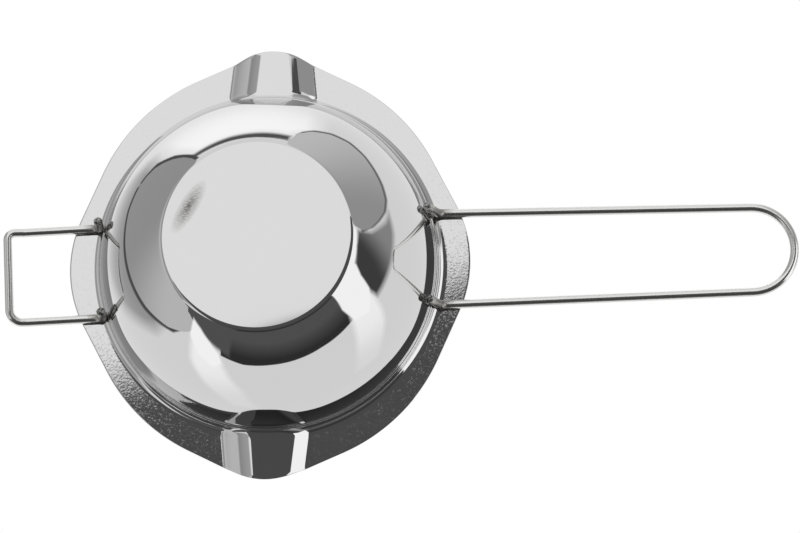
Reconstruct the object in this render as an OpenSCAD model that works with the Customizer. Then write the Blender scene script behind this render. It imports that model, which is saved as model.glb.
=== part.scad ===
// Double-boiler bowl: a pressed steel bowl that hangs in a saucepan by two welded wires.
// Origin: centre of the flat base, on the surface it stands on. +Z up, +X along the handle.

/* [Bowl] */
// Height from the flat base to the top of the flange
bowl_h = 62; // [50:1:78]
// Radius of the wall at the ring where the round wall ends
ring_r = 67.4; // [60:1:84]
// Radius of the flat base, to the sharp corner before rounding
base_r = 37.6; // [28:0.2:46]
// Rounding of the corner around the flat base
base_round = 2.4; // [1.6:0.2:4]
// Angle that the wall starts below the straight line from base to ring
wall_start = 18; // [14:0.5:24]
// Angle that the wall ends above the straight line from base to ring
wall_end = 21.5; // [14:0.5:26]
// Angle below this line where the two arcs of the wall meet
wall_join = 6; // [0:0.5:10]
// Thickness of the steel sheet
sheet = 0.8; // [0.5:0.1:1.2]

/* [Collar and flange] */
// Height of the upright collar, from the ring to the top of the flange
collar_h = 6.8; // [6.6:0.2:9]
// Step outward from the round wall to the collar
ring_step = 0.8; // [0.4:0.1:1.2]
// Rounding under the flange, where it meets the collar
flange_round = 2.9; // [1.5:0.1:3.2]
// Width past the collar of the two overlapping circles that the flange is laid out on
flange_w = 6; // [5:0.2:10]
// Distance of the middle of each of these circles from the axis, toward a spout
flange_draw = 8.5; // [6:0.5:10]
// Width of the flange past the collar where it covers the handle and the hook
ear_w = 12.8; // [10:0.2:16]
// Radius of the outline of the flange there
ear_r = 50; // [30:1:60]

/* [Spouts] */
// Reach of a spout lip past the collar
spout_len = 19.4; // [18:0.2:26]
// Radius of the spout lip, seen from above
spout_lip_r = 26; // [20:1:34]
// Half width of a spout where it leaves the bowl
spout_half_w = 19; // [15:0.5:20]
// Half width of the flat floor of a spout
spout_floor_half = 5.5; // [3.5:0.5:7]
// Depth of a spout below the flange
spout_depth = 4.8; // [3:0.2:5]
// Rounding where the side of a spout turns into the flange
spout_round = 2.8; // [1:0.2:3.2]
// Angle that each side of a spout turns inward on its way out
spout_taper = 6; // [0:0.5:8]
// Turn of the two spouts away from square with the handle
spout_turn = 2.7; // [0:0.1:5]

/* [Wires] */
// Diameter of the wire
wire_d = 3.5; // [2.5:0.1:4.5]
// Gap between wire and sheet that the welds bridge
weld_gap = 0.1; // [0.05:0.05:0.3]
// Radius of the bend where a wire turns down along the wall, at its middle
wire_bend_r = 3.5; // [3:0.25:5]
// Depth of the cut wire ends below the top of the flange
wire_end_depth = 17.5; // [14:0.5:22]

/* [Handle] */
// Reach of the handle from the axis of the bowl
handle_reach = 212.6; // [160:0.2:260]
// Distance between the middles of the handle's legs at the bowl
handle_gap_near = 37.4; // [30:0.2:46]
// Distance between the middles of the handle's legs at its round end
handle_gap_far = 34.4; // [24:0.2:46]
// Gap between the cut ends of the handle and the wall
handle_end_gap = 0.2; // [0.2:0.1:3]
// Turn of the handle about the axis of the bowl, as it was welded on
handle_turn = 0.6; // [-2:0.1:2]

/* [Hook] */
// Reach of the hook from the axis of the bowl
hook_reach = 107.2; // [100:0.2:125]
// Distance between the middles of the hook's legs
hook_gap = 36.8; // [30:0.2:46]
// Length of the hook's end that is bent down, to the middle of its bar
hook_end_len = 6.6; // [5.8:0.2:9]
// Angle that the end of the hook is bent down
hook_end_angle = 12; // [2:1:35]
// Radius of this small bend, at the middle of the wire
hook_bend_r = 4; // [3:0.5:6]
// Bend radius of the hook's tight corner, at the middle of the wire
hook_corner_tight = 3; // [2.6:0.2:5.4]
// Bend radius of the hook's wide corner, at the middle of the wire
hook_corner_wide = 5; // [2.6:0.2:5.4]
// Gap between the cut ends of the hook and the wall
hook_end_gap = 2.3; // [0.2:0.1:3]
// Turn of the hook about the axis of the bowl, as it was welded on
hook_turn = -0.8; // [-2:0.1:2]

/* [Welds] */
// Radius of a weld bead
weld_r = 2.1; // [1.9:0.1:2.6]
// Length of a weld bead, between the middles of its round ends
weld_len = 2.4; // [1:0.2:3]

/* [Hidden] */
$fn = 96;
round_fn = 200;
wire_fn = 40;
// Small overlap between shapes that are joined or cut
eps = 0.01;
// Straight runs of wire reach this far into the bends, which are a hair thicker
lap = 0.05;

// The wall is two arcs that run into each other, between the base and the ring
ring_z = bowl_h - collar_h;
wall_line = norm([ring_r - base_r, ring_z]);
wall_line_angle = atan2(ring_z, ring_r - base_r);
start_angle = wall_line_angle - wall_start;
join_angle = wall_line_angle - wall_join;
end_angle = wall_line_angle + wall_end;
arc_ratio = (cos(wall_join) - cos(wall_end)) / (cos(wall_join) - cos(wall_start));
upper_r = wall_line / (arc_ratio * (sin(wall_start) - sin(wall_join)) + sin(wall_end) + sin(wall_join));
lower_r = arc_ratio * upper_r;
lower_mid = [base_r - lower_r * sin(start_angle), lower_r * cos(start_angle)];
upper_mid = [ring_r - upper_r * sin(end_angle), ring_z + upper_r * cos(end_angle)];
join_z = lower_mid.y - lower_r * cos(join_angle);
// Middle of the small arc around the base, and the angle it spans
corner_x = lower_mid.x + sqrt((lower_r - base_round) ^ 2 - (lower_mid.y - base_round) ^ 2);
corner_angle = asin((corner_x - lower_mid.x) / (lower_r - base_round));

collar_r = ring_r + ring_step;
under_z = bowl_h - sheet;
flange_r = collar_r + flange_w;
ear_reach = collar_r + ear_w;
spout_reach = collar_r + spout_len;

// The side of a spout is two arcs that run into each other, from its floor to the flange
floor_z = under_z - spout_depth;
side_w = spout_half_w - spout_floor_half;
side_r = side_w / sin(2 * atan(spout_depth / side_w)) - spout_round;

// The wires lie under the flange, and their ends lean past the lower edge of the collar
wire_r = wire_d / 2;
wire_z = under_z - weld_gap - wire_r;
end_z = bowl_h - wire_end_depth;
edge_r = collar_r + wire_r + 2 * weld_gap;

// Distance along X from the axis to a circle of radius r, at a distance y beside the axis
function along_x(r, y) = sqrt(r ^ 2 - y ^ 2);
// Radius of the upper wall at height z
function wall_r(z) = upper_mid.x + sqrt(upper_r ^ 2 - (upper_mid.y - z) ^ 2);
// Angle from upright of a wire end at a distance y beside the axis, with this gap at its tip
function lean(y, gap) =
    atan((along_x(edge_r, y) - along_x(wall_r(end_z) + wire_r + gap, y)) / (ring_z - end_z));
// X where the straight leg of a wire starts, past the bend
function leg_x(y, gap) = along_x(edge_r, y) + (wire_z - ring_z) * tan(lean(y, gap))
    + wire_bend_r * tan(45 - lean(y, gap) / 2);

// The legs of the handle close in by this angle, onto the circle of its round end
handle_end_r = handle_gap_far / 2;
handle_end_x = handle_reach - wire_r - handle_end_r;
handle_run = [handle_gap_near / 2, handle_end_x - ring_r];
handle_taper = acos(handle_end_r / norm(handle_run)) - atan2(handle_run.y, handle_run.x);
// Distance of each leg of the handle from the axis, square to the leg
handle_y = handle_end_r + handle_end_x * sin(handle_taper);

// X of the point where the end of the hook is bent down
hook_bend_x = hook_reach - wire_r - hook_end_len * cos(hook_end_angle);
hook_bend_run = hook_bend_r * tan(hook_end_angle / 2);

// Two circles and the straight sides that touch both
module joined_circles(mid_1, r_1, mid_2, r_2) {
    run = mid_2 - mid_1;
    heading = atan2(run.y, run.x);
    side = acos((r_1 - r_2) / norm(run));
    polygon([
        for (turn = [side, -side]) mid_1 + r_1 * [cos(heading + turn), sin(heading + turn)],
        for (turn = [-side, side]) mid_2 + r_2 * [cos(heading + turn), sin(heading + turn)]
    ]);
    translate(mid_1) circle(r_1, $fn = round_fn);
    translate(mid_2) circle(r_2);
}

// Outline of the flange: two circles, drawn out to the spout lips and over the wires
module flange_outline() {
    lip = spout_reach - spout_lip_r;
    for (way = [-1, 1]) {
        joined_circles([0, way * flange_draw], flange_r,
            way * lip * [-sin(spout_turn), cos(spout_turn)], spout_lip_r);
        for (half = [-1, 1])
            joined_circles([0, half * flange_draw], flange_r, [way * (ear_reach - ear_r), 0], ear_r);
    }
}

// Half section of the space in the bowl, its outer face moved inward by inset
module bowl_section(inset) {
    split_z = join_z + inset * cos(join_angle);
    difference() {
        union() {
            intersection() {
                translate(lower_mid) circle(lower_r - inset, $fn = round_fn);
                translate([0, inset]) square([ring_r, split_z - inset]);
            }
            intersection() {
                translate(upper_mid) circle(upper_r - inset, $fn = round_fn);
                translate([0, split_z]) square([ring_r, ring_z + inset - split_z]);
            }
        }
        // The corner around the base, outside its rounding
        translate([corner_x, base_round])
            difference() {
                polygon([
                    [0, 0],
                    [0, -2 * base_round],
                    2 * base_round * [sin(corner_angle), -cos(corner_angle)]
                ]);
                circle(base_round - inset);
            }
    }
    translate([0, ring_z + inset]) square([collar_r - inset, collar_h]);
    // The rounding under the flange
    difference() {
        translate([collar_r - inset - eps, under_z - flange_round])
            square([flange_round + inset + eps, flange_round + inset]);
        translate([collar_r + flange_round, under_z - flange_round]) circle(flange_round + inset);
    }
}

module bowl_space(inset) {
    rotate_extrude($fn = round_fn) bowl_section(inset);
}

// Half section of the space in a spout, from a little past its middle to one side
module spout_section(inset) {
    difference() {
        union() {
            translate([spout_floor_half, floor_z + side_r]) circle(side_r - inset);
            translate([-spout_floor_half / 2, floor_z + inset]) square([1.5 * spout_floor_half, side_r]);
            polygon([
                [0, floor_z + side_r],
                [spout_floor_half, floor_z + side_r],
                [spout_half_w, under_z - spout_round],
                [spout_half_w, under_z + inset + eps],
                [0, under_z + side_r]
            ]);
        }
        translate([spout_half_w, under_z - spout_round]) circle(spout_round + inset);
    }
}

// Space in a spout that points along +Y, from inside the bowl to past its lip
module spout_space(inset) {
    start = along_x(ring_r - 2 * sheet, spout_half_w) - spout_half_w * sin(spout_taper);
    for (side = [0, 1])
        mirror([side, 0, 0])
            intersection() {
                translate([0, start, 0])
                    rotate([0, 0, spout_taper])
                        rotate([90, 0, 180])
                            mirror([1, 0, 0])
                                linear_extrude(spout_reach) spout_section(inset);
                translate([-eps, 0, 0]) cube([2 * spout_half_w, 2 * spout_reach, 2 * bowl_h]);
            }
}

module spout_spaces(inset) {
    for (turn = [0, 180]) rotate(spout_turn + turn) spout_space(inset);
}

// One pressed sheet: the form at its outer face, less the same form one sheet further in
module bowl() {
    color("silver") difference() {
        union() {
            translate([0, 0, under_z]) linear_extrude(sheet) flange_outline();
            intersection() {
                bowl_space(0);
                cylinder(r = 2 * ring_r, h = bowl_h);
            }
            intersection() {
                spout_spaces(0);
                translate([0, 0, floor_z - eps]) linear_extrude(bowl_h - floor_z + eps) flange_outline();
            }
        }
        bowl_space(sheet);
        spout_spaces(sheet);
    }
}

// Straight wire in the plane of X and Z, turned by an angle from +X toward +Z
module wire_run(from, angle, length) {
    translate(from)
        rotate([0, 90 - angle, 0])
            translate([0, 0, -lap]) cylinder(d = wire_d, h = length + 2 * lap, $fn = wire_fn);
}

// Wire bent around the Z axis, from +X on
module wire_arc(r, angle) {
    rotate_extrude(angle = angle) translate([r, 0]) circle(wire_d / 2 + eps, $fn = wire_fn);
}

// Wire bent in the plane of X and Z, around mid, from one angle to the next
module wire_bend(mid, r, first, last) {
    translate(mid) rotate([90, 0, 0]) rotate(first) wire_arc(r, last - first);
}

// One side of a wire at a distance y beside the axis: its end, its bend and its leg out to reach
module wire_side(y, gap, reach) {
    tip = lean(y, gap);
    leg = leg_x(y, gap);
    mid = [leg, y, wire_z - wire_bend_r];
    bend_end = mid + wire_bend_r * [-cos(tip), 0, sin(tip)];
    wire_run(bend_end, -90 - tip, (bend_end.z - end_z) / cos(tip) - lap);
    wire_bend(mid, wire_bend_r, 90, 180 - tip);
    wire_run([leg, y, wire_z], 0, reach - leg);
}

module handle_wire() {
    color("gainsboro") rotate(handle_turn) {
        for (side = [0, 1])
            mirror([0, side, 0])
                rotate(-handle_taper)
                    wire_side(handle_y, handle_end_gap, handle_end_x * cos(handle_taper));
        translate([handle_end_x, 0, wire_z])
            rotate(handle_taper - 90) wire_arc(handle_end_r, 180 - 2 * handle_taper);
    }
}

// The end of the hook past its small bend, laid flat: two corners and the bar between them
module hook_end() {
    corners = [hook_corner_tight, hook_corner_wide];
    for (side = [0, 1])
        mirror([0, side, 0]) {
            wire_run([hook_bend_run, -hook_gap / 2, 0], 0, hook_end_len - hook_bend_run - corners[side]);
            translate([hook_end_len - corners[side], corners[side] - hook_gap / 2, 0])
                rotate(-90) wire_arc(corners[side], 90);
        }
    translate([hook_end_len, hook_corner_tight - hook_gap / 2, 0])
        rotate(90) wire_run([0, 0, 0], 0, hook_gap - hook_corner_tight - hook_corner_wide);
}

module hook_wire() {
    bend_start = hook_bend_x - hook_bend_run;
    color("gainsboro") rotate(hook_turn) mirror([1, 0, 0]) {
        for (y = [-hook_gap / 2, hook_gap / 2]) {
            wire_side(y, hook_end_gap, bend_start);
            wire_bend([bend_start, y, wire_z - hook_bend_r], hook_bend_r, 90 - hook_end_angle, 90);
        }
        translate([hook_bend_x, 0, wire_z]) rotate([0, hook_end_angle, 0]) hook_end();
    }
}

// Weld bead between the flange and a leg that lies at a distance y beside the axis
module weld_bead(y, gap) {
    leg = leg_x(y, gap);
    color("dimgray") difference() {
        translate([leg, y, under_z]) {
            rotate([0, 90, 0]) cylinder(r = weld_r, h = weld_len);
            sphere(weld_r);
            translate([weld_len, 0, 0]) sphere(weld_r);
        }
        translate([leg - 2 * weld_r, y - 2 * weld_r, under_z])
            cube([4 * weld_r + weld_len, 4 * weld_r, 2 * weld_r]);
        wire_side(y, gap, leg + weld_len + 2 * weld_r);
    }
}

module handle_weld(side) {
    rotate(handle_turn) mirror([0, side, 0]) rotate(-handle_taper) weld_bead(handle_y, handle_end_gap);
}

module hook_weld(side) {
    rotate(hook_turn) mirror([0, side, 0]) mirror([1, 0, 0]) weld_bead(hook_gap / 2, hook_end_gap);
}

bowl();
handle_wire();
hook_wire();
handle_weld(0);  // handle_weld_left
handle_weld(1);  // handle_weld_right
hook_weld(0);  // hook_weld_left
hook_weld(1);  // hook_weld_right
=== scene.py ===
from functools import cache
from math import acos, asin, atan, atan2, cos, degrees, hypot, pi, radians, sin, sqrt, tan

import bmesh
import bpy
from mathutils import Matrix, Vector
from mathutils.geometry import intersect_point_line


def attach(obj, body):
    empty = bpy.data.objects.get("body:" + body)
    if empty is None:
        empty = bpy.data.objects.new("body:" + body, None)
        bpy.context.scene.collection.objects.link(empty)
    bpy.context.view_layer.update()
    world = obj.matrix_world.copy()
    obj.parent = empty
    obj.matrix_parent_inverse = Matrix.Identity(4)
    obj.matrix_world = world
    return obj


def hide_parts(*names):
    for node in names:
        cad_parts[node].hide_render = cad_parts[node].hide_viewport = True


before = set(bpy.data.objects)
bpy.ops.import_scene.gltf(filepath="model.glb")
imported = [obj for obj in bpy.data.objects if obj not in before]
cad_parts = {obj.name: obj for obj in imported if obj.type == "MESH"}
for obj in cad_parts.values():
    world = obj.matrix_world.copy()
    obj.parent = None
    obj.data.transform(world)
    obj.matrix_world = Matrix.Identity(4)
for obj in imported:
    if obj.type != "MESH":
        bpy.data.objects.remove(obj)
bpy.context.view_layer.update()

# The camera looks up at the underside of the bowl from far below, as the photograph does
lens = bpy.data.cameras.new("camera")
lens.sensor_width = 36
lens.lens = 171.8
lens.clip_end = 20
camera = bpy.data.objects.new("camera", lens)
camera.location = (0.1194, 0.2938, -1.4459)
camera.rotation_euler = (radians(-169.162), radians(-2.885), radians(1.795))
bpy.context.scene.collection.objects.link(camera)
bpy.context.scene.camera = camera

# The bowl. One blank of 0.8 mm stainless steel, deep drawn to a round wall with a flat base and a
# stepped collar. The flange is trimmed to shape, and two pouring spouts are pressed into it. Outside
# and inside are buffed bright, and the flange keeps the rougher skin of the drawn sheet.
SHEET = 0.8
BOWL_H, RING_R, BASE_R, BASE_ROUND = 62, 67.4, 37.6, 2.4
COLLAR_R, COLLAR_H, FLANGE_ROUND, STEP_ROUND = 68.2, 6.8, 2.9, 0.38
SPOUT_TURN, SPOUT_TAPER = radians(2.7), radians(6)
SPOUT_HALF_W, SPOUT_FLOOR_HALF, SPOUT_DEPTH, SPOUT_ROUND = 19, 5.5, 4.8, 2.8
SPOUT_REACH, SPOUT_LIP_R = 87.59, 26
FLANGE_R, FLANGE_DRAW, EAR_REACH, EAR_R, RIM_ROUND = 74.2, 8.5, 81, 50, 0.2
RING_Z = BOWL_H - COLLAR_H
UNDER_Z = BOWL_H - SHEET
TO_METRES = (0.001, 0.001, 0.001)

# The wall is two arcs that run into each other, set by their angles to the line from base to ring
START_ANGLE, JOIN_ANGLE, END_ANGLE = radians(18), radians(6), radians(21.5)
wall_line = hypot(RING_R - BASE_R, RING_Z)
line_angle = atan2(RING_Z, RING_R - BASE_R)
arc_ratio = (cos(JOIN_ANGLE) - cos(END_ANGLE)) / (cos(JOIN_ANGLE) - cos(START_ANGLE))
upper_r = wall_line / (arc_ratio * (sin(START_ANGLE) - sin(JOIN_ANGLE)) + sin(END_ANGLE) + sin(JOIN_ANGLE))
lower_r = arc_ratio * upper_r
lower_mid = (BASE_R - lower_r * sin(line_angle - START_ANGLE), lower_r * cos(line_angle - START_ANGLE))
upper_mid = (RING_R - upper_r * sin(line_angle + END_ANGLE), RING_Z + upper_r * cos(line_angle + END_ANGLE))
corner_x = lower_mid[0] + sqrt((lower_r - BASE_ROUND) ** 2 - (lower_mid[1] - BASE_ROUND) ** 2)
corner_angle = asin((corner_x - lower_mid[0]) / (lower_r - BASE_ROUND))

# Radii of the edge loops on the flat base, the gap of the last one to the corner, and the gap between
# the wall's last loop and the step
BASE_LOOPS, CORNER_GAP, STEP_GAP = (0, 12, 24, 32), 0.6, 0.2


def arc(mid, r, first, last, steps):
    """Points on an arc in the plane of radius and height, its angles measured from straight down."""
    turns = [first + (last - first) * k / steps for k in range(steps + 1)]
    return [(mid[0] + r * sin(turn), mid[1] - r * cos(turn)) for turn in turns]


def wall_profile(inset):
    """Half section of one face of the sheet, from the axis to the foot of the collar."""
    flat = [(r, inset) for r in (*BASE_LOOPS, corner_x - CORNER_GAP)]
    corner = arc((corner_x, BASE_ROUND), BASE_ROUND - inset, 0, corner_angle, 6)
    lower = arc(lower_mid, lower_r - inset, corner_angle, line_angle - JOIN_ANGLE, 12)
    upper = arc(upper_mid, upper_r - inset, line_angle - JOIN_ANGLE, line_angle + END_ANGLE, 24)
    upper = [(r, z) for r, z in upper if z < RING_Z + inset - STEP_ROUND - STEP_GAP]
    foot = (RING_R - inset + STEP_ROUND, RING_Z + inset - STEP_ROUND)
    out = (COLLAR_R - inset - STEP_ROUND, RING_Z + inset + STEP_ROUND)
    step = arc(foot, STEP_ROUND, -pi / 2, -pi, 4) + arc(out, STEP_ROUND, 0, pi / 2, 4)
    return flat + corner + lower[1:] + upper[1:] + step


# Across a spout, its side rises from the floor on one arc and runs out into the flange on another
spout_side_w = SPOUT_HALF_W - SPOUT_FLOOR_HALF
spout_slope = 2 * atan(SPOUT_DEPTH / spout_side_w)
spout_side_r = spout_side_w / sin(spout_slope) - SPOUT_ROUND
spout_floor_z = UNDER_Z - SPOUT_DEPTH
spout_mouth = sqrt((RING_R - 2 * SHEET) ** 2 - SPOUT_HALF_W ** 2) - SPOUT_HALF_W * sin(SPOUT_TAPER)


def spout_height(x, y, inset):
    """Height of one face of the flange at a point: flat, but for the trough of each spout."""
    way = 1 if y > 0 else -1
    across = abs(way * (x * cos(SPOUT_TURN) + y * sin(SPOUT_TURN)))
    out = way * (y * cos(SPOUT_TURN) - x * sin(SPOUT_TURN))
    s = across * cos(SPOUT_TAPER) + (out - spout_mouth) * sin(SPOUT_TAPER)
    if out < 0 or s > SPOUT_HALF_W:
        return UNDER_Z + inset
    if s < SPOUT_FLOOR_HALF:
        return spout_floor_z + inset
    side_r = spout_side_r - inset
    if s < SPOUT_FLOOR_HALF + side_r * sin(spout_slope):
        return spout_floor_z + spout_side_r - sqrt(side_r ** 2 - (s - SPOUT_FLOOR_HALF) ** 2)
    return UNDER_Z - SPOUT_ROUND + sqrt((SPOUT_ROUND + inset) ** 2 - (SPOUT_HALF_W - s) ** 2)


# Circles tried along each sweep of the flange's outline
SWEEP_STEPS = 40


@cache
def flange_reach(turn):
    """Distance from the axis to the trimmed edge: circles swept from the flange to lips and ears."""
    best = 0
    for way in (1, -1):
        lip_mid = (SPOUT_REACH - SPOUT_LIP_R) * way
        lip = Vector((-sin(SPOUT_TURN) * lip_mid, cos(SPOUT_TURN) * lip_mid))
        ear = Vector((way * (EAR_REACH - EAR_R), 0))
        for mid, r, from_way in ((lip, SPOUT_LIP_R, way), (ear, EAR_R, 1), (ear, EAR_R, -1)):
            from_mid = Vector((0, from_way * FLANGE_DRAW))
            for k in range(SWEEP_STEPS + 1):
                c = from_mid.lerp(mid, k / SWEEP_STEPS)
                r_k = FLANGE_R + (r - FLANGE_R) * k / SWEEP_STEPS
                along = c.x * cos(turn) + c.y * sin(turn)
                beside = c.length_squared - along ** 2
                if beside < r_k ** 2:
                    best = max(best, along + sqrt(r_k ** 2 - beside))
    return best


# The round from collar to flange takes at most this share of the collar's height, which is low at a spout
MOST_OF_COLLAR = 0.9


def flange_point(turn, share, inset):
    """Point of the collar and flange: share 0 to 1 is the rounded collar, 1 to 2 the flange."""
    bend_r = COLLAR_R + FLANGE_ROUND
    bend_z = spout_height(bend_r * cos(turn), bend_r * sin(turn), inset)
    foot_z = RING_Z + inset + STEP_ROUND
    if share > 1:
        r = bend_r + (share - 1) * (flange_reach(turn) - bend_r)
        return r, spout_height(r * cos(turn), r * sin(turn), inset)
    round_z = min(FLANGE_ROUND + inset, MOST_OF_COLLAR * (bend_z - foot_z))
    r = COLLAR_R - inset + (FLANGE_ROUND + inset) * (1 - cos(share * pi / 2))
    z = bend_z - round_z + round_z * sin(share * pi / 2)
    return r, z


def add_object(bm, name):
    """New object in the scene, with the finished mesh."""
    mesh = bpy.data.meshes.new(name)
    bm.to_mesh(mesh)
    bm.free()
    thing = bpy.data.objects.new(name, mesh)
    bpy.context.scene.collection.objects.link(thing)
    return thing


# The section is spun in close steps across each spout and in wider ones between them. Points with a
# share start at a place that only holds them apart from the rest, and flange_point then places them.
COLLAR_STEPS, FLANGE_STEPS, UNPLACED = 8, 14, (80, 60)
SPOUT_SECTOR, SPOUT_STEPS, SIDE_STEPS = 36, 96, 110
bm = bmesh.new()
share_of = bm.verts.layers.float.new("share")
inset_of = bm.verts.layers.float.new("inset")
shares = [k / COLLAR_STEPS for k in range(1, COLLAR_STEPS + 1)]
shares += [1 + k / FLANGE_STEPS for k in range(1, FLANGE_STEPS + 1)]
outside = [(*point, 0, 0) for point in wall_profile(0)]
outside += [(*UNPLACED, share, 0) for share in shares]
inside = [(*point, 0, SHEET) for point in wall_profile(SHEET)]
inside += [(*UNPLACED, share, SHEET) for share in shares]
first_turn = pi / 2 + SPOUT_TURN + radians(SPOUT_SECTOR / 2)
row = []
for r, z, share, inset in outside + inside[::-1]:
    vert = bm.verts.new((r * cos(first_turn), r * sin(first_turn), z))
    vert[share_of] = share
    vert[inset_of] = inset
    row.append(vert)
section = row + [bm.edges.new(pair) for pair in zip(row, row[1:])]
for angle, steps in 2 * ((180 - SPOUT_SECTOR, SIDE_STEPS), (SPOUT_SECTOR, SPOUT_STEPS)):
    turned = bmesh.ops.spin(bm, geom=section, cent=(0, 0, 0), axis=(0, 0, 1), angle=radians(angle),
                            steps=steps, use_merge=False, use_duplicate=False)
    section = turned["geom_last"]
for vert in bm.verts:
    if vert[share_of] > 0:
        turn = round(atan2(vert.co.y, vert.co.x), 5)
        r, z = flange_point(turn, vert[share_of], vert[inset_of])
        vert.co = (r * cos(turn), r * sin(turn), z)
bmesh.ops.remove_doubles(bm, verts=bm.verts, dist=0.001)
bmesh.ops.recalc_face_normals(bm, faces=bm.faces)
rim = [e for e in bm.edges if all(v[share_of] == 2 for v in e.verts) and
       e.verts[0][inset_of] == e.verts[1][inset_of]]
bmesh.ops.bevel(bm, geom=rim, offset=RIM_ROUND, segments=2, profile=0.5, affect="EDGES", material=-1)
bmesh.ops.scale(bm, vec=TO_METRES, verts=bm.verts)
for face in bm.faces:
    face.smooth = True
pressed_bowl = add_object(bm, "pressed_bowl")


def linear(hex_colour):
    """sRGB hex colour as the linear colour that a shader takes."""
    parts = [int(hex_colour[k:k + 2], 16) / 255 for k in (1, 3, 5)]
    return [p / 12.92 if p <= 0.04045 else ((p + 0.055) / 1.055) ** 2.4 for p in parts] + [1]


def add_node(tree, kind, settings=(), links=()):
    """Adds a shader node, sets its properties and sockets by name or number, and links its inputs."""
    node = tree.nodes.new(kind)
    for name, value in dict(settings).items():
        if isinstance(name, str) and hasattr(node, name):
            setattr(node, name, value)
        else:
            node.inputs[name].default_value = value
    for socket, source in dict(links).items():
        tree.links.new(source, node.inputs[socket])
    return node


def new_material(name):
    """Empty material with its tree and its output node."""
    material = bpy.data.materials.new(name)
    material.use_nodes = True
    material.node_tree.nodes.clear()
    return material, material.node_tree, material.node_tree.nodes.new("ShaderNodeOutputMaterial")


# Buffed 18/8 stainless steel: near a mirror, with the faint haze of a cotton wheel on the wall, and a
# coarser orange-peel skin on the flange, which was only drawn and trimmed. The peel's real grains of
# 0.3 mm and the scratches of 0.1 mm are too fine to show, so they are drawn coarser.
PEEL_SIZE, HAZE_SIZE, SCRATCH_LENGTH, SCRATCH_WIDTH = 0.0008, 0.016, 0.0016, 0.0003
PEEL_HEIGHT, PEEL_STRENGTH = 0.00006, 0.09

# The peel sets in across the round of the flange, and above the spouts, which the press has smoothed
PEEL_FROM_R, PEEL_FULL_R, PEEL_FROM_Z, PEEL_FULL_Z = 0.0690, 0.0712, 0.0598, 0.0609
buffed_steel, tree, output = new_material("buffed_stainless_steel")
place = add_node(tree, "ShaderNodeTexCoord").outputs["Object"]
parts = add_node(tree, "ShaderNodeSeparateXYZ", links={0: place})
across = add_node(tree, "ShaderNodeCombineXYZ", links={0: parts.outputs[0], 1: parts.outputs[1]})
radius = add_node(tree, "ShaderNodeVectorMath", {"operation": "LENGTH"}, {0: across.outputs[0]})
beyond_ring = add_node(tree, "ShaderNodeMapRange", {"From Min": PEEL_FROM_R, "From Max": PEEL_FULL_R},
                       {"Value": radius.outputs["Value"]})
above_spouts = add_node(tree, "ShaderNodeMapRange", {"From Min": PEEL_FROM_Z, "From Max": PEEL_FULL_Z},
                        {"Value": parts.outputs[2]})
on_flange = add_node(tree, "ShaderNodeMath", {"operation": "MULTIPLY"},
                     {0: beyond_ring.outputs[0], 1: above_spouts.outputs[0]})
peel = add_node(tree, "ShaderNodeTexNoise", {"Scale": 1 / PEEL_SIZE, "Detail": 2}, {"Vector": place})
haze = add_node(tree, "ShaderNodeTexNoise", {"Scale": 1 / HAZE_SIZE, "Detail": 4}, {"Vector": place})
wall_rough = add_node(tree, "ShaderNodeMapRange", {"To Min": 0.015, "To Max": 0.03},
                      {"Value": haze.outputs["Fac"]})
flange_rough = add_node(tree, "ShaderNodeMapRange",
                        {"From Min": 0.48, "From Max": 0.72, "To Min": 0.02, "To Max": 0.11},
                        {"Value": peel.outputs["Fac"]})
rough = add_node(tree, "ShaderNodeMix",
                 links={"Factor": on_flange.outputs[0], 2: wall_rough.outputs[0],
                        3: flange_rough.outputs[0]})

# A scuff of fine scratches on the base, where the bowl was slid over a worktop
SCUFF_PLACE, SCUFF_TURN, SCUFF_HALF_SIZE = (-0.0262, -0.0125, 0), radians(-58), (0.0125, 0.0038, 0.0007)
SCRATCH_TURN = radians(60)
scuff_place = add_node(tree, "ShaderNodeMapping",
                       {"vector_type": "TEXTURE", "Location": SCUFF_PLACE, "Rotation": (0, 0, SCUFF_TURN),
                        "Scale": SCUFF_HALF_SIZE}, {"Vector": place})
scuff_shape = add_node(tree, "ShaderNodeTexGradient", {"gradient_type": "SPHERICAL"},
                       {"Vector": scuff_place.outputs[0]})
scratch_place = add_node(tree, "ShaderNodeMapping",
                         {"Rotation": (0, 0, SCRATCH_TURN),
                          "Scale": (1 / SCRATCH_LENGTH, 1 / SCRATCH_WIDTH, 1 / SCRATCH_LENGTH)},
                         {"Vector": place})
scratches = add_node(tree, "ShaderNodeTexNoise", {"Scale": 1, "Detail": 3},
                     {"Vector": scratch_place.outputs[0]})
scratch_lines = add_node(tree, "ShaderNodeMapRange", {"From Min": 0.22, "From Max": 0.55},
                         {"Value": scratches.outputs["Fac"]})
scuffed = add_node(tree, "ShaderNodeMath", {"operation": "MULTIPLY", "use_clamp": True},
                   {0: scuff_shape.outputs["Fac"], 1: scratch_lines.outputs[0]})
steel_colour = add_node(tree, "ShaderNodeMix",
                        {"data_type": "RGBA", 6: linear("#CDCDCD"), 7: linear("#55534E")},
                        {0: scuffed.outputs[0]})
peel_strength = add_node(tree, "ShaderNodeMath", {"operation": "MULTIPLY", 1: PEEL_STRENGTH},
                         {0: on_flange.outputs[0]})
bump = add_node(tree, "ShaderNodeBump", {"Distance": PEEL_HEIGHT},
                {"Strength": peel_strength.outputs[0], "Height": peel.outputs["Fac"]})
steel = add_node(tree, "ShaderNodeBsdfPrincipled", {"Metallic": 1},
                 {"Base Color": steel_colour.outputs[2], "Roughness": rough.outputs[0],
                  "Normal": bump.outputs[0]})
tree.links.new(steel.outputs[0], output.inputs["Surface"])
pressed_bowl.data.materials.append(buffed_steel)
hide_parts("bowl")
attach(pressed_bowl, "root")

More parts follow.
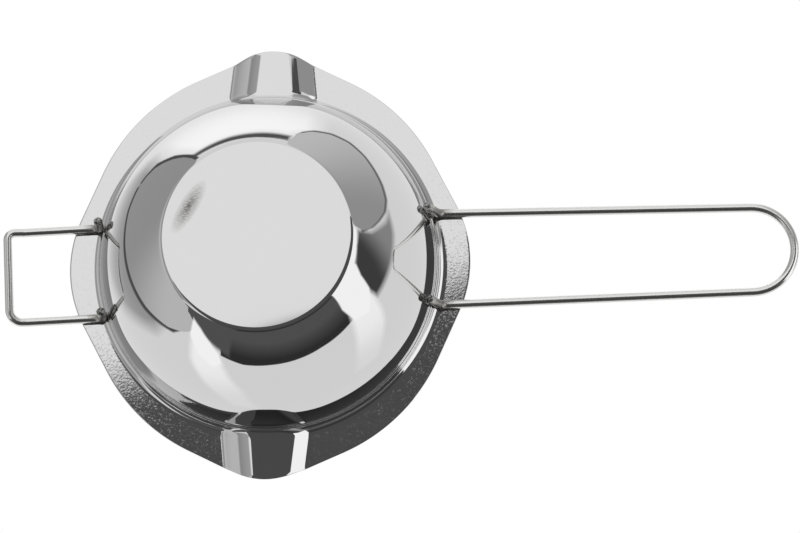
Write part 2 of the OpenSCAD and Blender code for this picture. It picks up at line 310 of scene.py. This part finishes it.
# The handle. Cold-drawn 3.5 mm stainless wire, bent to a long loop whose two cut ends turn down along
# the wall. It lies under the flange and is resistance welded to it.
WIRE_R, BEND_R, WELD_GAP = 1.75, 3.5, 0.1
HANDLE_REACH, HANDLE_GAP_NEAR, HANDLE_GAP_FAR, HANDLE_TURN = 212.6, 37.4, 34.4, radians(0.6)
HANDLE_END_GAP, END_DEPTH = 0.2, 17.5
wire_z = UNDER_Z - WELD_GAP - WIRE_R
edge_r = COLLAR_R + WIRE_R + 2 * WELD_GAP
end_z = BOWL_H - END_DEPTH
end_wall_r = upper_mid[0] + sqrt(upper_r ** 2 - (upper_mid[1] - end_z) ** 2)


def wire_end(y, gap):
    """Where a wire starts at a distance y beside the axis: cut end, lean, run, and the leg's start."""
    edge_x = sqrt(edge_r ** 2 - y ** 2)
    lean = atan((edge_x - sqrt((end_wall_r + WIRE_R + gap) ** 2 - y ** 2)) / (RING_Z - end_z))
    leg_x = edge_x + (wire_z - RING_Z) * tan(lean) + BEND_R * tan(pi / 4 - lean / 2)
    top = Vector((leg_x - BEND_R * cos(lean), y, wire_z - BEND_R + BEND_R * sin(lean)))
    run = (top.z - end_z) / cos(lean)
    return top - run * Vector((sin(lean), 0, cos(lean))), lean, run, leg_x


# Sides of the wire, mm between the loops of a straight, degrees between those of a bend, and the small
# round of a cut end
WIRE_SIDES, STRAIGHT_STEP, BEND_STEP, CUT_ROUND = 28, 8, 6, 0.18


def bent_wire(name, start, heading, steps, turn, flip):
    """Wire bent step by step: a length to run, or a direction to bend toward, an angle and a radius.
    It is then turned about Z, and mirrored to -X first if flip is set."""
    bm = bmesh.new()
    facing = heading.to_track_quat("Z", "Y").to_matrix().to_4x4()
    bmesh.ops.create_circle(bm, cap_ends=True, segments=WIRE_SIDES, radius=WIRE_R,
                            matrix=Matrix.Translation(start) @ facing)
    ring = bm.edges[:]
    place = start.copy()
    for step in steps:
        if len(step) == 1:
            cuts = max(1, round(step[0] / STRAIGHT_STEP))
            moved = bmesh.ops.spin(bm, geom=ring, cent=place, axis=(0, 0, 1), angle=0, steps=cuts,
                                   dvec=heading * step[0] / cuts)
            place = place + heading * step[0]
        else:
            toward, angle, r = step
            axis = heading.cross(Vector(toward)).normalized()
            middle = place + r * axis.cross(heading)
            cuts = max(6, round(degrees(angle) / BEND_STEP))
            moved = bmesh.ops.spin(bm, geom=ring, cent=middle, axis=axis, angle=angle, steps=cuts)
            bend = Matrix.Rotation(angle, 3, axis)
            place = middle + bend @ (place - middle)
            heading = bend @ heading
        ring = [part for part in moved["geom_last"] if isinstance(part, bmesh.types.BMEdge)]
    bmesh.ops.holes_fill(bm, edges=ring, sides=0)
    cut_ends = [face for face in bm.faces if len(face.verts) > 4]
    for face in bm.faces:
        face.smooth = True
        face.material_index = 1 if face in cut_ends else 0
    bmesh.ops.bevel(bm, geom=[e for face in cut_ends for e in face.edges], offset=CUT_ROUND, segments=2,
                    profile=0.5, affect="EDGES", material=-1)
    if flip:
        bmesh.ops.scale(bm, vec=(-1, 1, 1), verts=bm.verts)
    bmesh.ops.rotate(bm, cent=(0, 0, 0), matrix=Matrix.Rotation(turn, 3, "Z"), verts=bm.verts)
    bmesh.ops.scale(bm, vec=TO_METRES, verts=bm.verts)
    bmesh.ops.recalc_face_normals(bm, faces=bm.faces)
    return add_object(bm, name)


end_r = HANDLE_GAP_FAR / 2
end_x = HANDLE_REACH - WIRE_R - end_r
taper = (acos(end_r / hypot(HANDLE_GAP_NEAR / 2, end_x - RING_R)) -
         atan2(end_x - RING_R, HANDLE_GAP_NEAR / 2))
handle_start, lean, run, leg_x = wire_end(end_r + end_x * sin(taper), HANDLE_END_GAP)
close_in = Matrix.Rotation(-taper, 3, "Z")
leg = end_x * cos(taper) - leg_x

# Up from one cut end, out along a leg, round the end of the loop, and back the same way
handle_steps = [(run,), (close_in @ Vector((1, 0, 0)), pi / 2 - lean, BEND_R), (leg,),
                ((0, -1, 0), pi - 2 * taper, end_r), (leg,), ((0, 0, -1), pi / 2 - lean, BEND_R), (run,)]
bent_handle = bent_wire("bent_handle", close_in @ handle_start,
                        close_in @ Vector((sin(lean), 0, cos(lean))), handle_steps, HANDLE_TURN, False)

# Drawn 18/8 wire: bright with fine lengthwise die marks, dulled and grainy where the weld heated it. The
# real marks of 0.1 mm and the grain of 0.2 mm are too fine to show, so they are drawn coarser.
MARK_LENGTH, MARK_WIDTH, GRAIN_SIZE, GRAIN_HEIGHT, GRAIN_STRENGTH = 0.025, 0.0011, 0.00065, 0.00015, 0.5

# The heat of the welds fades out between these distances from the axis, with a ragged border
HEAT_NONE_R, HEAT_FULL_R, HEAT_RAGGED = 0.0800, 0.0765, 0.006
drawn_wire, tree, output = new_material("drawn_stainless_wire")
place = add_node(tree, "ShaderNodeTexCoord").outputs["Object"]
stretch = add_node(tree, "ShaderNodeMapping",
                   {"Scale": (1 / MARK_LENGTH, 1 / MARK_WIDTH, 1 / MARK_WIDTH)}, {"Vector": place})
marks = add_node(tree, "ShaderNodeTexNoise", {"Scale": 1, "Detail": 3}, {"Vector": stretch.outputs[0]})
grain = add_node(tree, "ShaderNodeTexNoise", {"Scale": 1 / GRAIN_SIZE, "Detail": 4}, {"Vector": place})
parts = add_node(tree, "ShaderNodeSeparateXYZ", links={0: place})
across = add_node(tree, "ShaderNodeCombineXYZ", links={0: parts.outputs[0], 1: parts.outputs[1]})
radius = add_node(tree, "ShaderNodeVectorMath", {"operation": "LENGTH"}, {0: across.outputs[0]})
ragged_radius = add_node(tree, "ShaderNodeMath", {"operation": "MULTIPLY_ADD", 1: HEAT_RAGGED},
                         {0: grain.outputs["Fac"], 2: radius.outputs["Value"]})
heated = add_node(tree, "ShaderNodeMapRange", {"From Min": HEAT_NONE_R, "From Max": HEAT_FULL_R},
                  {"Value": ragged_radius.outputs[0]})
plain_rough = add_node(tree, "ShaderNodeMapRange", {"To Min": 0.14, "To Max": 0.2},
                       {"Value": marks.outputs["Fac"]})
heat_rough = add_node(tree, "ShaderNodeMapRange", {"To Min": 0.2, "To Max": 0.5},
                      {"Value": grain.outputs["Fac"]})
rough = add_node(tree, "ShaderNodeMix",
                 links={"Factor": heated.outputs[0], 2: plain_rough.outputs[0], 3: heat_rough.outputs[0]})
colour = add_node(tree, "ShaderNodeMix", {"data_type": "RGBA", 6: linear("#D6D6D4"), 7: linear("#A6A4A0")},
                  {"Factor": heated.outputs[0]})
grain_strength = add_node(tree, "ShaderNodeMath", {"operation": "MULTIPLY", 1: GRAIN_STRENGTH},
                          {0: heated.outputs[0]})
bump = add_node(tree, "ShaderNodeBump", {"Distance": GRAIN_HEIGHT},
                {"Strength": grain_strength.outputs[0], "Height": grain.outputs["Fac"]})
steel = add_node(tree, "ShaderNodeBsdfPrincipled", {"Metallic": 1},
                 {"Base Color": colour.outputs[2], "Roughness": rough.outputs[0],
                  "Normal": bump.outputs[0]})
tree.links.new(steel.outputs[0], output.inputs["Surface"])

# Sheared wire end: dark, torn and dull, with painted highlights as bright patches of colour on the torn
# grain, drawn coarser than the real 0.3 mm to show
TEAR_SIZE, TEAR_HEIGHT = 0.0009, 0.0002
sheared_wire, tree, output = new_material("sheared_wire_end")
place = add_node(tree, "ShaderNodeTexCoord").outputs["Object"]
tear = add_node(tree, "ShaderNodeTexNoise", {"Scale": 1 / TEAR_SIZE, "Detail": 4}, {"Vector": place})
painted_tear_highlights = add_node(tree, "ShaderNodeMapRange", {"From Min": 0.38, "From Max": 0.66},
                        {"Value": tear.outputs["Fac"]})
# The bright colour is painted highlight, mixed in where the tear noise is high
colour = add_node(tree, "ShaderNodeMix", {"data_type": "RGBA", 6: linear("#454545"), 7: linear("#C8C8C6")},
                  {"Factor": painted_tear_highlights.outputs[0]})
bump = add_node(tree, "ShaderNodeBump", {"Distance": TEAR_HEIGHT, "Strength": 0.8},
                {"Height": tear.outputs["Fac"]})
steel = add_node(tree, "ShaderNodeBsdfPrincipled", {"Metallic": 1, "Roughness": 0.5},
                 {"Base Color": colour.outputs[2], "Normal": bump.outputs[0]})
tree.links.new(steel.outputs[0], output.inputs["Surface"])
for material in (drawn_wire, sheared_wire):
    bent_handle.data.materials.append(material)
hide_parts("handle_wire")
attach(bent_handle, "root")

# The hook. The same wire, bent to a short square loop whose end dips a little, with unlike corners, as
# bent by hand over a jig. It is welded on like the handle.
HOOK_REACH, HOOK_GAP, HOOK_END_LEN, HOOK_END_ANGLE = 107.2, 36.8, 6.6, radians(12)
HOOK_BEND_R, HOOK_TIGHT_R, HOOK_WIDE_R, HOOK_END_GAP, HOOK_TURN = 4, 3, 5, 2.3, radians(-0.8)
hook_start, lean, run, leg_x = wire_end(-HOOK_GAP / 2, HOOK_END_GAP)
hook_bend_run = HOOK_BEND_R * tan(HOOK_END_ANGLE / 2)
hook_bend_x = HOOK_REACH - WIRE_R - HOOK_END_LEN * cos(HOOK_END_ANGLE)
leg = hook_bend_x - hook_bend_run - leg_x
dip = HOOK_END_LEN - hook_bend_run

# Up from one cut end, out along a leg, down the dip, across the square end, and back the same way
hook_steps = [(run,), ((1, 0, 0), pi / 2 - lean, BEND_R), (leg,),
              ((0, 0, -1), HOOK_END_ANGLE, HOOK_BEND_R), (dip - HOOK_TIGHT_R,),
              ((0, 1, 0), pi / 2, HOOK_TIGHT_R), (HOOK_GAP - HOOK_TIGHT_R - HOOK_WIDE_R,),
              ((-1, 0, tan(HOOK_END_ANGLE)), pi / 2, HOOK_WIDE_R), (dip - HOOK_WIDE_R,),
              ((-1, 0, 0), HOOK_END_ANGLE, HOOK_BEND_R), (leg,),
              ((0, 0, -1), pi / 2 - lean, BEND_R), (run,)]
bent_hook = bent_wire("bent_hook", hook_start, Vector((sin(lean), 0, cos(lean))), hook_steps, HOOK_TURN,
                      True)
for material in (drawn_wire, sheared_wire):
    bent_hook.data.materials.append(material)
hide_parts("hook_wire")
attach(bent_hook, "root")

# The four resistance welds between wires and flange: squeezed-out steel, blackened and pitted. The pits
# are drawn coarser than the real 0.3 mm, so that they show.
PIT_SIZE, PIT_DEPTH = 0.0008, 0.0003
burnt_weld, tree, output = new_material("burnt_resistance_weld")
place = add_node(tree, "ShaderNodeTexCoord").outputs["Object"]
pits = add_node(tree, "ShaderNodeTexNoise", {"Scale": 1 / PIT_SIZE, "Detail": 5}, {"Vector": place})
colour = add_node(tree, "ShaderNodeMix", {"data_type": "RGBA", 6: linear("#3A3836"), 7: linear("#B2B0AC")},
                  {"Factor": pits.outputs["Fac"]})
rough = add_node(tree, "ShaderNodeMapRange", {"To Min": 0.25, "To Max": 0.6},
                 {"Value": pits.outputs["Fac"]})
bump = add_node(tree, "ShaderNodeBump", {"Distance": PIT_DEPTH, "Strength": 0.8},
                {"Height": pits.outputs["Fac"]})
steel = add_node(tree, "ShaderNodeBsdfPrincipled", {"Metallic": 1},
                 {"Base Color": colour.outputs[2], "Roughness": rough.outputs[0],
                  "Normal": bump.outputs[0]})
tree.links.new(steel.outputs[0], output.inputs["Surface"])
for name in ("handle_weld_left", "handle_weld_right", "hook_weld_left", "hook_weld_right"):
    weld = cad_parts[name]
    weld.data.materials.clear()
    weld.data.materials.append(burnt_weld)

# The studio. A light tent with a white table beyond the bowl's mouth, grey walls at left and right, a
# dark opening on the camera's side and two strip lights. Only the steel sees it. Each card lies on a
# sphere about the bowl, and a card on a smaller sphere covers one on a larger.
CARD_SUBDIVISIONS = 3


def sky(azimuth, fall, distance):
    """Point seen from the bowl at an azimuth, from +X toward -Y, and an angle fallen away from -Z."""
    return distance * Vector((cos(azimuth) * sin(fall), -sin(azimuth) * sin(fall), -cos(fall)))


def closest_on_edge(place, first, last):
    """Point of the straight edge from first to last that is nearest to a place."""
    point, share = intersect_point_line(place, first, last)
    return first if share < 0 else last if share > 1 else point


def card(name, outline, distance, strength, soft, fade=None):
    """Far card that only reflections show, its outline in degrees of azimuth and fall from -Z. Its border
    thins out over soft degrees. It may fade from its strength at one direction to another at a second."""
    bm = bmesh.new()
    cover = bm.verts.layers.float.new("cover")
    corners = [Vector((azimuth, fall, 0)) for azimuth, fall in outline]
    bm.faces.new([bm.verts.new(corner) for corner in corners])
    bm.normal_update()
    bmesh.ops.inset_region(bm, faces=bm.faces[:], thickness=soft, use_boundary=True, use_even_offset=True)
    bmesh.ops.triangulate(bm, faces=bm.faces[:])
    for subdivision in range(CARD_SUBDIVISIONS):
        bmesh.ops.subdivide_edges(bm, edges=bm.edges[:], cuts=1, use_grid_fill=True)
    for vert in bm.verts:
        nearest = [closest_on_edge(vert.co, *edge) for edge in zip(corners, corners[1:] + corners[:1])]
        vert[cover] = min(1, min((vert.co - point).length for point in nearest) / soft)
        vert.co = sky(radians(vert.co.x), radians(vert.co.y), distance)
    thing = add_object(bm, name)
    material, tree, output = new_material(name)
    glow = add_node(tree, "ShaderNodeEmission", {"Strength": strength})
    if fade:
        first, last = [sky(radians(azimuth), radians(fall), distance) for azimuth, fall in fade[:2]]
        along = (last - first).normalized()
        place = add_node(tree, "ShaderNodeTexCoord").outputs["Object"]
        share = add_node(tree, "ShaderNodeVectorMath", {"operation": "DOT_PRODUCT", 1: along}, {0: place})
        level = add_node(tree, "ShaderNodeMapRange",
                         {"interpolation_type": "SMOOTHSTEP", "From Min": first.dot(along),
                          "From Max": last.dot(along), "To Min": strength, "To Max": fade[2]},
                         {"Value": share.outputs["Value"]})
        tree.links.new(level.outputs[0], glow.inputs["Strength"])
    clear = add_node(tree, "ShaderNodeBsdfTransparent")
    covered = add_node(tree, "ShaderNodeAttribute", {"attribute_name": "cover"})
    mix = add_node(tree, "ShaderNodeMixShader",
                   links={0: covered.outputs["Fac"], 1: clear.outputs[0], 2: glow.outputs[0]})
    tree.links.new(mix.outputs[0], output.inputs["Surface"])
    thing.data.materials.append(material)
    thing.visible_camera = False
    thing.visible_diffuse = False
    thing.visible_shadow = False
    thing.visible_transmission = False


# Left and right walls of the tent, with the dark gap between the top edge of each and the table
LEFT_GAP, RIGHT_GAP = 2.2, 1.9
left_top_edge = [(143, 122.3), (152, 121.3), (165, 117.3), (180, 112.3), (195, 107)]
left_wall = [(123, 100), (124, 105), (126, 109.5), (129, 114), (132, 117.6), (135, 120.3), (139, 121.8),
             *left_top_edge, (210, 100.7), (219, 95.2), (225, 89.5), (224, 88), (215, 86), (205, 60),
             (190, 40), (165, 34), (140, 38), (125, 60)]
right_top_edge = [(78, 104), (76.5, 108), (73, 112), (67, 115.5), (60, 117), (52, 116), (45, 113.8),
                  (37, 111.3), (30, 108.5), (24, 104.5), (19, 99), (15, 94), (13, 90)]
right_wall = [(79, 100), *right_top_edge, (15, 84), (18, 60), (25, 40), (45, 30), (65, 40), (77, 70)]
card("wall_left", left_wall, 9, 0.42, 0.3, ((160, 104), (190, 76), 0.72))
card("wall_left_low", [(125, 70), (140, 50), (165, 46), (190, 52), (208, 72), (206, 30), (190, 18),
                       (165, 16), (135, 20)], 8.9, 0.5, 4, ((165, 20), (165, 60), 0.3))
card("wall_right", right_wall, 9, 0.42, 0.3, ((25, 95), (75, 104), 0.75))
card("gap_left", [(azimuth, fall + LEFT_GAP) for azimuth, fall in left_top_edge] +
     [(214, 100.5), (224, 88), (150, 90), (136, 112)], 9.4, 0.1, 0.9)
card("gap_right", [(azimuth, fall + RIGHT_GAP) for azimuth, fall in right_top_edge] +
     [(10, 88), (30, 88), (60, 100)], 9.4, 0.2, 1)
card("gap_left_top", [(121, 100), (121.5, 105.5), (127.2, 115.5), (133, 122), (142, 124), (142, 118),
                      (130, 100)], 9.42, 0.1, 0.8)
card("gap_back", [(78, 100), (78, 105.5), (90, 106.5), (105, 107.5), (124, 107.5), (124, 103),
                  (105, 102), (90, 100.5)], 9.1, 0.12, 2)
card("shade_left", [(133, 112), (152, 115), (180, 106), (213, 92), (209, 110), (190, 130), (165, 148),
                    (138, 152), (128, 130)], 9.5, 0.45, 8, ((160, 118), (165, 150), 0.95))

# The back of the tent throws a glow on the table
card("back_glow", [(66, 110), (78, 100), (105, 100), (124, 100), (132, 116), (134, 135), (126, 150),
                   (105, 152), (76, 148)], 9.6, 1.45, 9, ((100, 110), (95, 146), 1.05))

# Strip lights in the two near corners, and the spill of each on the table
card("strip_left", [(219, 85.5), (227, 87), (235, 90), (241, 93), (244, 98), (239, 102), (230, 99.5),
                    (222, 94)], 8.8, 1.42, 1.2)
card("spill_left", [(220, 90), (225, 104), (234, 116), (248, 130), (262, 130), (256, 112), (243, 94)],
     9.2, 1.35, 4, ((236, 98), (250, 125), 1.08))
card("strip_right", [(322, 86), (323, 95), (333, 99), (343, 94), (347, 88), (352, 84.5), (352, 78),
                     (336, 75), (325, 79)], 8.8, 1.42, 1.2)
card("spill_right", [(322, 90), (314, 104), (306, 124), (322, 128), (336, 112), (345, 92)],
     9.2, 1.35, 4, ((331, 97), (316, 122), 1.08))

# The opening that the camera stands in is dark, from a straight edge below the bowl to the table
card("opening", [(30, 34), (45, 20.6), (60, 14.9), (75, 12.2), (90, 11.1), (105, 10.7), (120, 11.1),
                 (135, 12.4), (150, 15), (165, 18), (190, 20), (212, 26), (228, 38), (238, 60), (240, 84),
                 (242, 94), (255, 95), (270, 94), (300, 93), (327, 93.5), (328, 80), (327, 46), (345, 42),
                 (358, 42), (374, 44), (386, 42), (394, 30), (394, -5), (30, -5)],
     9.3, 0.1, 0.35, ((270, 12), (270, 50), 0.04))
card("opening_middle", [(234, 58), (238, 91), (270, 91), (300, 90.5), (332, 91), (330, 66), (300, 56),
                        (270, 54)], 9.25, 0.12, 8)
card("opening_left", [(193, 92), (203, 78), (212, 55), (222, 36), (248, 40), (248, 94), (232, 91),
                      (214, 90)], 9.27, 0.12, 2)
card("opening_right", [(340, 100), (340, 90), (345, 84), (352, 82), (363, 82), (374, 85), (374, 93),
                       (380, 102), (388, 109), (374, 108), (360, 105)],
     9.1, 0.07, 3, ((355, 93), (6, 106), 0.35))

# Two broad lights, one beside the opening at the right and one beyond its straight edge
card("light_right", [(324, 85), (326, 44), (345, 40), (360, 41), (375, 43), (377, 70), (374, 84),
                     (363, 83.5), (350, 85)], 9.2, 1.42, 1)
card("light_top", [(40, 17), (75, 11), (105, 9), (135, 11), (160, 15), (170, 22), (130, 42), (90, 42),
                   (50, 30)], 9.8, 1.15, 1.5)

# Plain pale floor under the bowl, seen from above only, which keeps the bowl's shadow. From below and in
# reflections it isn't there, so that the underside can be seen.
FLOOR_SIZE, FLOOR_DROP, MOTTLE_SIZE = 3.0, 0.0004, 0.17
bm = bmesh.new()
bmesh.ops.create_grid(bm, x_segments=1, y_segments=1, size=FLOOR_SIZE / 2,
                      matrix=Matrix.Translation((0, 0, -FLOOR_DROP)))
pale_floor = add_object(bm, "pale_floor")
pale_paint, tree, output = new_material("pale_matt_paint")
place = add_node(tree, "ShaderNodeTexCoord").outputs["Object"]
mottle = add_node(tree, "ShaderNodeTexNoise", {"Scale": 1 / MOTTLE_SIZE, "Detail": 3}, {"Vector": place})
paint_colour = add_node(tree, "ShaderNodeMix",
                        {"data_type": "RGBA", 6: linear("#EFEEEB"), 7: linear("#F4F3F1")},
                        {0: mottle.outputs["Fac"]})
paint = add_node(tree, "ShaderNodeBsdfDiffuse", links={"Color": paint_colour.outputs[2]})
clear = add_node(tree, "ShaderNodeBsdfTransparent")
side = add_node(tree, "ShaderNodeNewGeometry")
seen = add_node(tree, "ShaderNodeMixShader",
                links={0: side.outputs["Backfacing"], 1: paint.outputs[0], 2: clear.outputs[0]})
tree.links.new(seen.outputs[0], output.inputs["Surface"])
pale_floor.data.materials.append(pale_paint)
pale_floor.visible_glossy = False
pale_floor.visible_shadow = False

# One soft lamp high above
soft_lamp = bpy.data.lights.new("soft_lamp", "AREA")
soft_lamp.shape = "DISK"
soft_lamp.size = 0.9
soft_lamp.energy = 2.5
soft_lamp_stand = bpy.data.objects.new("soft_lamp", soft_lamp)
soft_lamp_stand.location = (-0.5, -0.4, 1.5)
soft_lamp_stand.rotation_euler = (-soft_lamp_stand.location).to_track_quat("-Z", "Y").to_euler()
soft_lamp_stand.visible_glossy = False
bpy.context.scene.collection.objects.link(soft_lamp_stand)

# White room, which is the background and the light
world = bpy.data.worlds.new("white_room")
world.use_nodes = True
tree = world.node_tree
tree.nodes.clear()
room = add_node(tree, "ShaderNodeBackground", {"Color": linear("#FFFFFF"), "Strength": 1.0})
world_output = tree.nodes.new("ShaderNodeOutputWorld")
tree.links.new(room.outputs[0], world_output.inputs["Surface"])
bpy.context.scene.world = world
bpy.context.scene.view_settings.view_transform = "Standard"
